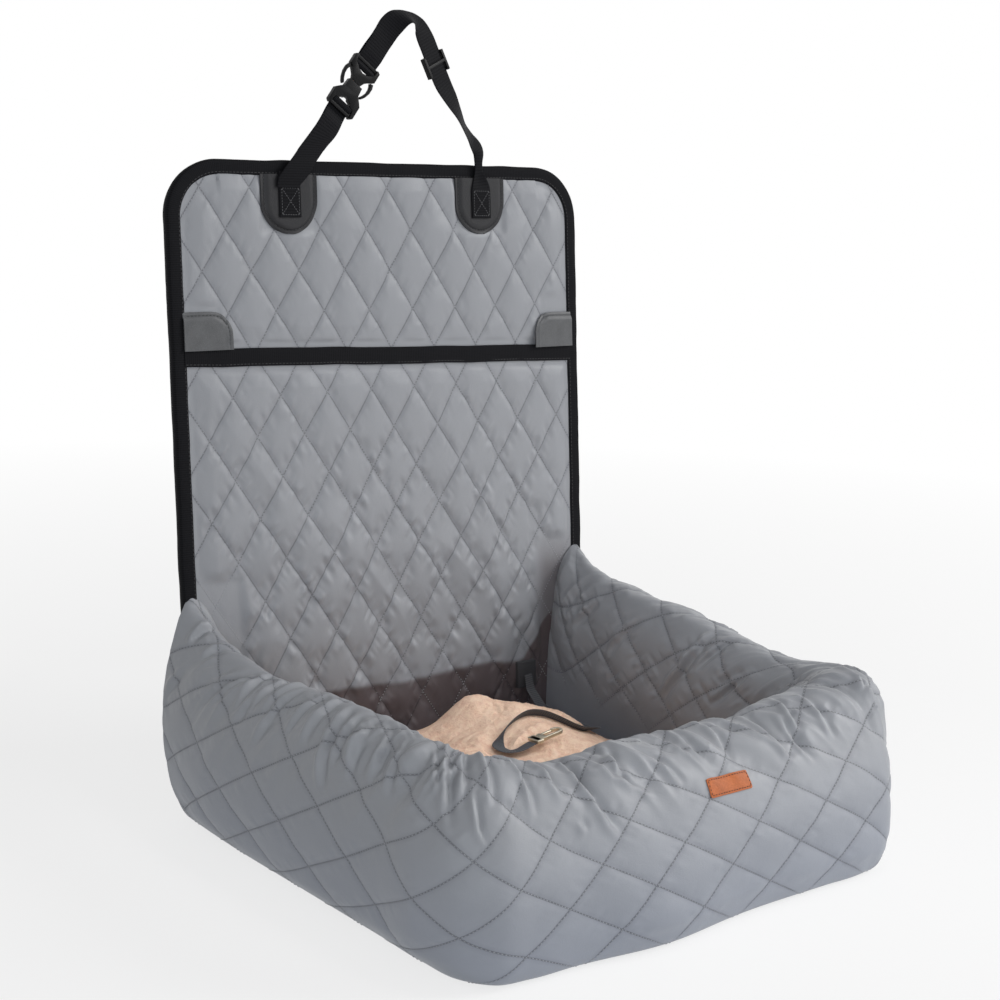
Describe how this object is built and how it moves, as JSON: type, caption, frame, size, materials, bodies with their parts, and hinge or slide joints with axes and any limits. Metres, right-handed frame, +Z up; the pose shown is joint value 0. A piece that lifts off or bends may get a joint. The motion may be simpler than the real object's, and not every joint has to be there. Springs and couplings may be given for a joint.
{
  "type": "dog car seat",
  "caption": "Quilted pet booster bed for a car seat: folding back panel with pocket and headrest strap, padded bolsters, plush cushion and a safety tether",
  "frame": {"origin": "middle of the base's flat underside", "axes": "+X to the right seen from the front, +Y to the back, +Z up"},
  "size_m": [0.5674, 0.5619, 0.796],
  "materials": {
    "quilted_cover": "satin-woven polyester, quilted in diamonds",
    "lining": "plain dark lining",
    "board": "pressed fibre board",
    "foam": "open foam and fibre filling",
    "label": "tan leather, bare, with a stitched border",
    "plush": "short peach plush pile",
    "binding": "black woven binding tape",
    "leatherette": "dark grey leatherette with a raised edge",
    "webbing": "black woven webbing",
    "buckle_plastic": "matte black moulded plastic",
    "zip_tape": "grey coil zip",
    "bright_metal": "pale plated metal"
  },
  "bodies": {
    "bed": {"base_underside": "lining", "base_board": "board", "base_foam": "foam", "seat_quilt": "quilted_cover", "bolster_cover": "quilted_cover", "bolster_fill_left": "foam", "bolster_fill_front": "foam", "bolster_fill_right": "foam", "label_patch": "label", "cushion_cover": "plush", "cushion_fill": "foam", "lower_backing": "lining", "lower_foam": "foam", "lower_facing": "quilted_cover", "lower_binding_left": "binding", "lower_binding_right": "binding", "zipper_chain": "zip_tape", "tether_anchor": "webbing"},
    "back_panel": {"upper_facing": "quilted_cover", "pocket_front": "quilted_cover", "pocket_binding": "binding", "panel_foam": "foam", "panel_backing": "lining", "edge_binding": "binding", "pocket_tab_left": "leatherette", "pocket_tab_right": "leatherette", "strap_patch_left": "leatherette", "strap_patch_right": "leatherette", "strap_tail_left": "webbing", "strap_tail_right": "webbing"},
    "strap_loop": {"strap_left": "webbing", "buckle_female": "buckle_plastic"},
    "strap_side": {"strap_right": "webbing", "buckle_male": "buckle_plastic"},
    "arm_left": {"release_arm_left": "buckle_plastic"},
    "arm_right": {"release_arm_right": "buckle_plastic"},
    "triglide": {"triglide": "buckle_plastic"},
    "zipper_slider": {"zipper_slider": "bright_metal"},
    "zipper_pull": {"zipper_pull": "bright_metal"},
    "tether": {"tether_strap": "webbing", "hook_swivel": "bright_metal"},
    "hook": {"hook_body": "bright_metal"},
    "hook_gate": {"hook_gate": "bright_metal"}
  },
  "joints": [
    {"name": "back_fold", "type": "hinge", "parent": "bed", "child": "back_panel", "pos_m": [0, 0.25436, 0.23208], "axis": [1, 0, 0], "range_deg": [-30, 95]},
    {"name": "strap_swing", "type": "hinge", "parent": "back_panel", "child": "strap_loop", "pos_m": [0, 0.28911, 0.6421], "axis": [1, 0, 0], "range_deg": [-45, 30]},
    {"name": "buckle_unclip", "type": "hinge", "parent": "strap_loop", "child": "strap_side", "pos_m": [0.1165, 0.28911, 0.6421], "axis": [0, 0.9951, -0.0993], "range_deg": [0, 12]},
    {"name": "arm_press_left", "type": "hinge", "parent": "strap_side", "child": "arm_left", "pos_m": [-0.04359, 0.29866, 0.73782], "axis": [0, -0.9951, 0.0993], "range_deg": [0, 4], "stiffness_Nm_per_rad": 0.05},
    {"name": "arm_press_right", "type": "hinge", "parent": "strap_side", "child": "arm_right", "pos_m": [-0.01905, 0.29679, 0.71907], "axis": [0, 0.9951, -0.0993], "range_deg": [0, 4], "stiffness_Nm_per_rad": 0.05},
    {"name": "triglide_slide", "type": "slide", "parent": "strap_side", "child": "triglide", "axis": [0.426, -0.0899, -0.9003], "range_m": [-0.008, 0.008]},
    {"name": "zip_run", "type": "slide", "parent": "bed", "child": "zipper_slider", "axis": [0, -1, 0], "range_m": [0, 0.355]},
    {"name": "zip_pull_flip", "type": "hinge", "parent": "zipper_slider", "child": "zipper_pull", "pos_m": [-0.2524, 0.213, 0.0036], "axis": [0, 0, -1], "range_deg": [0, 175]},
    {"name": "tether_lift", "type": "hinge", "parent": "bed", "child": "tether", "pos_m": [0.165, 0.22949, 0.08462], "axis": [-1, 0, 0], "range_deg": [0, 35]},
    {"name": "hook_turn", "type": "hinge", "parent": "tether", "child": "hook", "pos_m": [0.02908, 0.04233, 0.08696], "axis": [0.9886, 0.0899, 0.121], "continuous": true},
    {"name": "gate_open", "type": "hinge", "parent": "hook", "child": "hook_gate", "pos_m": [0.03646, 0.04777, 0.08792], "axis": [0.1205, 0.011, -0.9927], "range_deg": [0, 20], "stiffness_Nm_per_rad": 0.01}
  ]
}
